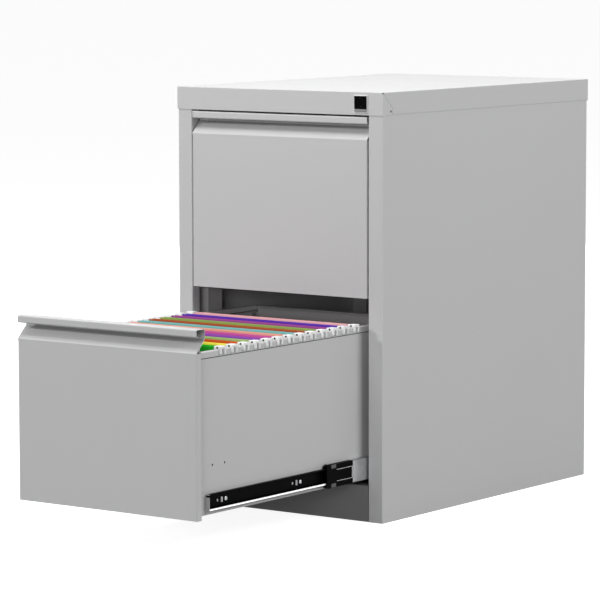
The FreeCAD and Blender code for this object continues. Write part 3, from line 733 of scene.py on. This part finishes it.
def slide_fixings():
    """Screws, lugs and studs of the drawer members, and the rings of the middle members."""
    middles_out = {level: MIDDLE_SHARE * out for level, out in DRAWER_OUT.items()}
    stud_offsets = [offset - PILOT_BEFORE_LUG for offset in LUG_OFFSETS]
    screw, lug, stud, rings = pan_screw(), slide_lug(), pilot_stud(), dimple_rings()
    screws = slide_rows(screw, SCREW_OFFSETS, WEB_FACE, DRAWER_OUT)
    lugs = slide_rows(lug, LUG_OFFSETS, WALL_FACE, DRAWER_OUT)
    studs = slide_rows(stud, stud_offsets, WALL_FACE, DRAWER_OUT)
    dimples = slide_rows(rings, [NOSE_LENGTH + DIMPLE_FROM_NOSE], DIMPLE_FLOOR, middles_out)
    for level in SLIDE_CENTRES:
        drawer, middles = level + "_drawer", level + "_slide_middles"
        settle(join_pieces(screws[level]), level + "_slide_screws", "zinc", drawer)
        settle(join_pieces(lugs[level] + studs[level]), level + "_slide_lugs", "cabinet_paint",
               drawer)
        settle(join_pieces(dimples[level]), level + "_slide_rings", "zinc", middles)
    discard(screw, lug, stud, rings)


def lip_curls():
    """The near-white upturned edge of each drawer member's lower lip: a painted highlight along the
    black lip.
    """
    for level, z in SLIDE_CENTRES.items():
        start = SLIDE_FRONT - DRAWER_OUT[level] + CURL_SET_BACK
        end = start + SLIDE_LENGTH - CURL_SHORTER
        top = z - CURL_TOP
        curls = []
        for side in (-1, 1):
            near, far = sorted((side * (LIP_TIP - CURL_DEPTH), side * (LIP_TIP + CURL_PROUD)))
            curl = blank((near, start, z - LIP_DROP - CURL_BELOW), (far, end, top))
            curls.append(round_edges(
                curl,
                lambda middle, run: middle.z > top - CLOSE and abs(run.y) > SLIDE_LENGTH / 2,
                CURL_ROUND))
        settle(join_pieces(curls), level + "_slide_lip_curls", "lip_painted_highlight", level + "_drawer")


def nose_highlight_inlay():
    """The light strip framing the middle of a nose on three sides, partly metal edge and partly
    painted highlight on its ridges, lying in its face, facing +Z.
    """
    legs = blank((-STRIP_HALF, -STRIP_BAR, -TRIM_SUNK), (STRIP_HALF, 0.0, STRIP_PROUD))
    bpy.ops.object.mode_set(mode="EDIT")
    for level in (-STRIP_INNER_HALF, STRIP_INNER_HALF):
        bpy.ops.mesh.select_all(action="SELECT")
        bpy.ops.mesh.bisect(plane_co=(level, 0, 0), plane_no=(1, 0, 0))
    pick_faces(legs, lambda centre, normal: normal.y < -FACING and abs(centre.x) > STRIP_INNER_HALF)
    bpy.ops.mesh.extrude_region_move(TRANSFORM_OT_translate={"value": (0, -STRIP_LEG, 0)})
    bpy.ops.object.mode_set(mode="OBJECT")
    return round_edges(legs, lambda middle, run: middle.z > 0 and abs(run.y) > STRIP_LEG / 2,
                       STRIP_ROUND, segments=1)


def nose_pad():
    """A grey pad in the face of a nose, facing +Z at the origin."""
    pad = blank((-PAD_HALF_X, -PAD_HALF_Y, -TRIM_SUNK), (PAD_HALF_X, PAD_HALF_Y, PAD_PROUD))
    return round_edges(pad, lambda middle, run: abs(run.z) > CLOSE, PAD_ROUND, segments=3)


def nose_trim():
    """Light strips, partly painted highlight, and grey pads of the four noses."""
    highlight_inlay, pad = nose_highlight_inlay(), nose_pad()
    for level, z in SLIDE_CENTRES.items():
        front = SLIDE_FRONT - MIDDLE_SHARE * DRAWER_OUT[level]
        strips, pads = [], []
        for side in (-1, 1):
            x = side * NOSE_FACE
            strip_place = Vector((x, front + NOSE_LENGTH - STRIP_FROM_END, z))
            strips.append(copy_of(highlight_inlay, outward(side), strip_place))
            for row in (-1, 1):
                pad_place = Vector((x, front + PAD_BEHIND_FRONT, z + row * PAD_OFFSET))
                pads.append(copy_of(pad, outward(side), pad_place))
        middles = level + "_slide_middles"
        settle(join_pieces(strips), level + "_nose_strips", "plated_trim_and_highlight", middles)
        settle(join_pieces(pads), level + "_nose_pads", "grey_pad", middles)
    discard(highlight_inlay, pad)


# Hanging files

def file_place(number):
    return FILE_FIRST + FILE_PITCH * (number - 1)


def folded_edges():
    """The top edges of each card, folded over its two bars."""
    for number in CARD_COLOURS:
        y = file_place(number)
        folds = []
        for side in (-1, 1):
            near, far = sorted((side * FOLD_NEAR, side * FOLD_FAR))
            fold = blank((-FILE_HALF_WIDTH, y + near, FILE_TOP - FOLD_HEIGHT),
                         (FILE_HALF_WIDTH, y + far, FILE_TOP + FOLD_PROUD))
            folds.append(round_edges(
                fold,
                lambda middle, run: middle.z > FILE_TOP and abs(run.x) > FILE_HALF_WIDTH,
                FOLD_ROUND))
        settle(join_pieces(folds), "hanging_file_%02d_folded_edges" % number,
               "card_%02d" % number, "lower_drawer")


def hook_bridge():
    """The moulded head that joins the two hooks of a file's end, for the right-hand rail."""
    head = blank((HOOK_INNER, -HEAD_HALF, RAIL_TOP + HEAD_FOOT),
                 (HOOK_OUTER, HEAD_HALF, RAIL_TOP + HEAD_TOP))
    round_edges(head, lambda middle, run: middle.z > RAIL_TOP + HEAD_TOP - CLOSE, HEAD_ROUND)
    press_rings(head, lambda centre, normal: normal.z < -FACING, HEAD_RIM)
    return head


def hook_hole_shade():
    """A small near-black disc in the hole of a hook head, painted shade in that hole, its face
    towards -Y, at the origin.
    """
    hole_shade = rod(HOOK_HOLE_SHADE_RADIUS, HOOK_HOLE_SHADE_DEPTH, turn=(math.pi / 2, 0, 0), sides=20)
    fix_in_place()
    press_rings(hole_shade, lambda centre, normal: normal.y < -FACING, HOOK_HOLE_SHADE_STEPS)
    smooth()
    return hole_shade


def hook_heads():
    """A head, and a near-black disc of painted shade in its hole, at both ends of every file."""
    bridge, hole_shade = hook_bridge(), hook_hole_shade()
    heads, hole_shades = [], []
    still, turned = Euler((0, 0, 0)), Euler((0, 0, math.pi))
    for number in CARD_COLOURS:
        y = file_place(number)
        for side, turn in ((1, still), (-1, turned)):
            heads.append(copy_of(bridge, turn, Vector((0, y, 0))))
            place = Vector((side * HOOK_HOLE_SHADE_X, y - side * HEAD_HALF, RAIL_TOP + HOOK_HOLE_SHADE_RISE))
            hole_shades.append(copy_of(hole_shade, turn, place))
    settle(join_pieces(heads), "hanging_file_heads", "hook_white", "lower_drawer")
    settle(join_pieces(hole_shades), "hanging_file_hole_shades", "dark_and_painted_shade", "lower_drawer")
    discard(bridge, hole_shade)


# Drawer walls

def wall_hole_shade_discs():
    """Near-black discs in the two punched holes of each drawer wall: painted shade seen through the
    holes.
    """
    shade_disc = rod(WALL_HOLE_SHADE_RADIUS, WALL_HOLE_SHADE_DEPTH, (0, 0, WALL_HOLE_SHADE_MIDDLE), sides=20)
    fix_in_place()
    press_rings(shade_disc, faces_up, WALL_HOLE_SHADE_STEPS)
    for level, z in WALL_HOLE_LEVELS.items():
        made = []
        for side in (-1, 1):
            for row in (0, 1):
                y = WALL_HOLE_Y + row * WALL_HOLE_PITCH - DRAWER_OUT[level]
                made.append(copy_of(shade_disc, outward(side), Vector((side * WALL_FACE, y, z))))
        settle(join_pieces(made), level + "_wall_hole_shade_discs", "dark_and_painted_shade", level + "_drawer")
    discard(shade_disc)


def rail_painted_shadows():
    """A near-black strip below the folded rail band of each drawer wall: painted shadow of the
    band's step.
    """
    outer = WALL_FACE + SHADOW_LINE_PROUD
    for level, tray in (("upper", "upper_drawer_tray"), ("lower", "lower_drawer_tray")):
        low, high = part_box(tray)
        top = high[2] - RAIL_BAND
        foot = top - SHADOW_LINE_HEIGHT
        shadow_lines = []
        for side in (-1, 1):
            near, far = sorted((side * (WALL_FACE - SHADOW_LINE_SUNK), side * outer))
            shadow_line = blank((near, low[1] + SHADOW_LINE_FROM_FRONT, foot),
                          (far, high[1] - SHADOW_LINE_FROM_BACK, top))
            shadow_lines.append(round_edges(
                shadow_line,
                lambda middle, run: abs(middle.x) > outer - CLOSE and middle.z < foot + CLOSE,
                SHADOW_LINE_ROUND))
        settle(join_pieces(shadow_lines), level + "_rail_painted_shadows", "dark_and_painted_shade", level + "_drawer")


# Cap and lock

def cap_fixings():
    """Near-black rivets in the cap's side holes, and near-black blocks in the reliefs at its front
    corners, painted shade in those reliefs.
    """
    made = []
    for side in (-1, 1):
        rivet = rod(RIVET_RADIUS, RIVET_DEPTH, (side * CAP_SIDE_FACE, CAP_HOLE_Y, CAP_HOLE_Z),
                    (0, side * math.pi / 2, 0))
        fix_in_place()
        press_rings(rivet, lambda centre, normal: normal.x * side > FACING, RIVET_STEPS)
        made.append(rivet)
        x = side * CAP_CORNER_X
        # Painted shade: a near-black block in the corner relief
        corner = blank((x - RELIEF_HALF, CAP_CORNER_Y - RELIEF_HALF, CAP_TOP - RELIEF_FOOT),
                       (x + RELIEF_HALF, CAP_CORNER_Y + RELIEF_HALF, CAP_TOP - RELIEF_TOP))
        made.append(round_edges(corner, lambda middle, run: abs(run.z) > CLOSE, RELIEF_ROUND,
                                segments=3))
    settle(join_pieces(made), "cap_fixings", "dark_and_painted_shade", "cabinet")


def lock_rim():
    """The light rim around the lock's square face, with a rounded dark grey sill below it, a
    painted shadow under the lock.
    """
    rim = blank(RIM_LOW, RIM_HIGH)
    round_edges(rim, lambda middle, run: middle.y < RIM_LOW[1] + CLOSE, RIM_ROUND)
    sill = blank(SILL_LOW, SILL_HIGH)
    round_edges(
        sill, lambda middle, run: middle.y < SILL_LOW[1] + CLOSE and abs(run.x) > CLOSE,
        SILL_ROUND, segments=4)
    settle(rim, "lock_rim", "lock_rim_paint", "cabinet")
    settle(sill, "lock_sill", "lock_sill_painted_shadow", "cabinet")


# Floor, light and camera

def show_apart(tree, lighting, shown, surface):
    """Shows one shader to the camera and in mirrors, and lights the rest with the other."""
    rays = node(tree, "ShaderNodeLightPath")
    mirrored = maths(tree, "MAXIMUM", rays.outputs["Is Glossy Ray"],
                     rays.outputs["Is Transmission Ray"])
    seen = maths(tree, "MAXIMUM", rays.outputs["Is Camera Ray"], mirrored)
    mix = node(tree, "ShaderNodeMixShader")
    wire(tree, seen, mix.inputs["Fac"])
    wire(tree, lighting.outputs[0], mix.inputs[1])
    wire(tree, shown.outputs[0], mix.inputs[2])
    wire(tree, mix.outputs[0], surface.inputs["Surface"])


def studio_floor():
    """A plain pale floor, white to the camera and in mirrors, that keeps the cabinet's shadow."""
    nothing_selected()
    bpy.ops.mesh.primitive_plane_add(size=FLOOR_SIZE, location=(0, 0, 0))
    floor = bpy.context.object
    floor.name = "studio_floor"
    material = bpy.data.materials.new("pale_floor")
    material.use_nodes = True
    tree = material.node_tree
    tree.nodes.clear()
    surface = node(tree, "ShaderNodeOutputMaterial")
    dull = node(tree, "ShaderNodeBsdfDiffuse")
    dull.inputs["Color"].default_value = FLOOR_LIT_BY
    pale = node(tree, "ShaderNodeBsdfDiffuse")
    pale.inputs["Color"].default_value = FLOOR_SHOWN
    glow = node(tree, "ShaderNodeEmission")
    glow.inputs["Strength"].default_value = FLOOR_GLOW
    shown = node(tree, "ShaderNodeAddShader")
    wire(tree, pale.outputs[0], shown.inputs[0])
    wire(tree, glow.outputs[0], shown.inputs[1])
    show_apart(tree, dull, shown, surface)
    floor.data.materials.append(material)


def studio_world():
    """A white backdrop that gives only a little light."""
    world = bpy.data.worlds.new("white_studio")
    world.use_nodes = True
    bpy.context.scene.world = world
    tree = world.node_tree
    tree.nodes.clear()
    surface = node(tree, "ShaderNodeOutputWorld")
    soft = node(tree, "ShaderNodeBackground")
    soft.inputs["Strength"].default_value = WORLD_LIGHT
    white = node(tree, "ShaderNodeBackground")
    white.inputs["Strength"].default_value = WORLD_SHOWN
    for background in (soft, white):
        background.inputs["Color"].default_value = (1, 1, 1, 1)
    show_apart(tree, soft, white, surface)


def softbox(name, place, target, width, height, watts, mirrored=True):
    """An area lamp that the camera doesn't see, aimed at a point."""
    lamp = bpy.data.lights.new(name, "AREA")
    lamp.shape = "RECTANGLE"
    lamp.size, lamp.size_y = width, height
    lamp.energy = watts
    holder = bpy.data.objects.new(name, lamp)
    bpy.context.scene.collection.objects.link(holder)
    holder.location = place
    holder.rotation_euler = (Vector(target) - Vector(place)).to_track_quat("-Z", "Y").to_euler()
    holder.visible_camera = False
    holder.visible_glossy = mirrored


def studio_light():
    """Six softboxes; the back one stays out of mirrors, where it would burn out the cap."""
    softbox("overhead_softbox", (-0.2, -1.1, 2.6), (0, -0.1, 0.4), width=0.9, height=0.9, watts=30)
    softbox("top_softbox", (0.0, 0.5, 2.6), (0, 0.1, 0.72), width=1.2, height=1.2, watts=12)
    softbox("back_softbox", (-3.0, 3.6, 0.85), (0, 0.2, 0.4), width=1.6, height=0.9, watts=80,
            mirrored=False)
    softbox("key_softbox", (-3.4, -4.2, 2.75), (0, -0.4, 0.4), width=0.55, height=0.55, watts=102)
    softbox("side_softbox", (3.2, 0.2, 2.4), (0, 0, 0.6), width=1.6, height=1.6, watts=70)
    softbox("camera_fill", (2.4, -5.6, 1.15), (0, -0.3, 0.4), width=2.0, height=1.0, watts=76)


def photo_camera():
    """The photograph's camera, looking at the cabinet from the front right."""
    yaw, pitch, roll = map(math.radians, (CAMERA_YAW, CAMERA_PITCH, CAMERA_ROLL))
    back = Vector((math.sin(yaw) * math.cos(pitch), -math.cos(yaw) * math.cos(pitch),
                   math.sin(pitch)))
    right = Vector((math.cos(yaw), math.sin(yaw), 0))
    up = back.cross(right)
    place = CAMERA_TARGET + back * CAMERA_DISTANCE + right * CAMERA_ASIDE + up * CAMERA_UP
    rolled_right = right * math.cos(roll) + up * math.sin(roll)
    rolled_up = up * math.cos(roll) - right * math.sin(roll)
    camera = bpy.data.cameras.new("photo_camera")
    camera.sensor_width = SENSOR
    camera.lens = FOCAL_PIXELS * SENSOR / PHOTO_PIXELS
    camera.clip_end = CAMERA_FAR_CLIP
    holder = bpy.data.objects.new("photo_camera", camera)
    bpy.context.scene.collection.objects.link(holder)
    turn = Matrix((rolled_right, rolled_up, back)).transposed()
    holder.matrix_world = Matrix.Translation(place) @ turn.to_4x4()
    bpy.context.scene.camera = holder


dress_nodes()
slide_fixings()
nose_trim()
folded_edges()
hook_heads()
lip_curls()
wall_hole_shade_discs()
rail_painted_shadows()
cap_fixings()
lock_rim()
studio_floor()
studio_world()
studio_light()
photo_camera()
bpy.context.scene.view_settings.view_transform = "Standard"
